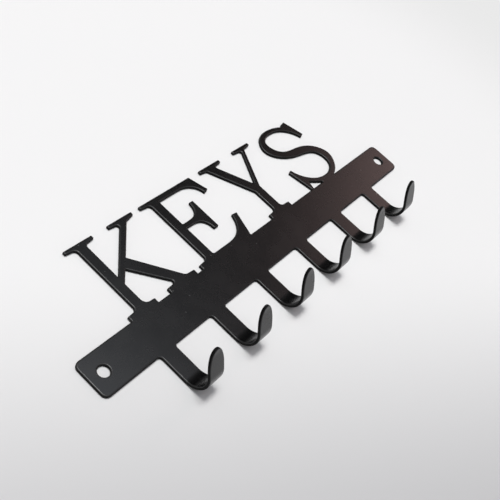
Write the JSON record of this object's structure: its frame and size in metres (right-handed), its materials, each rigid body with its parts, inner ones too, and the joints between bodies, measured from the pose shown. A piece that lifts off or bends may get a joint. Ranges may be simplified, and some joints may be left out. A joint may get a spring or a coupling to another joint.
{
  "type": "key rack",
  "caption": "Wall key rack cut and bent from black-coated sheet steel: a screw-on bar with slab-serif capitals along its top edge and bent hooks along its bottom edge.",
  "frame": {"origin": "on the back face of the bar, midway between the two screw holes", "axes": "+X along the bar, so that the word reads from -X to +X; +Y up the wall, towards the letter tops; +Z out of the wall, towards the hooks' tips"},
  "size_m": [0.22, 0.0786, 0.0239],
  "materials": {
    "powder_coated_steel": "satin black powder coat, fine even texture"
  },
  "bodies": {
    "root": {"mounting_bar": "powder_coated_steel", "letter_k": "powder_coated_steel", "letter_e": "powder_coated_steel", "letter_y": "powder_coated_steel", "letter_s": "powder_coated_steel", "hook_1": "powder_coated_steel", "hook_2": "powder_coated_steel", "hook_3": "powder_coated_steel", "hook_4": "powder_coated_steel", "hook_5": "powder_coated_steel", "hook_6": "powder_coated_steel"}
  },
  "joints": []
}
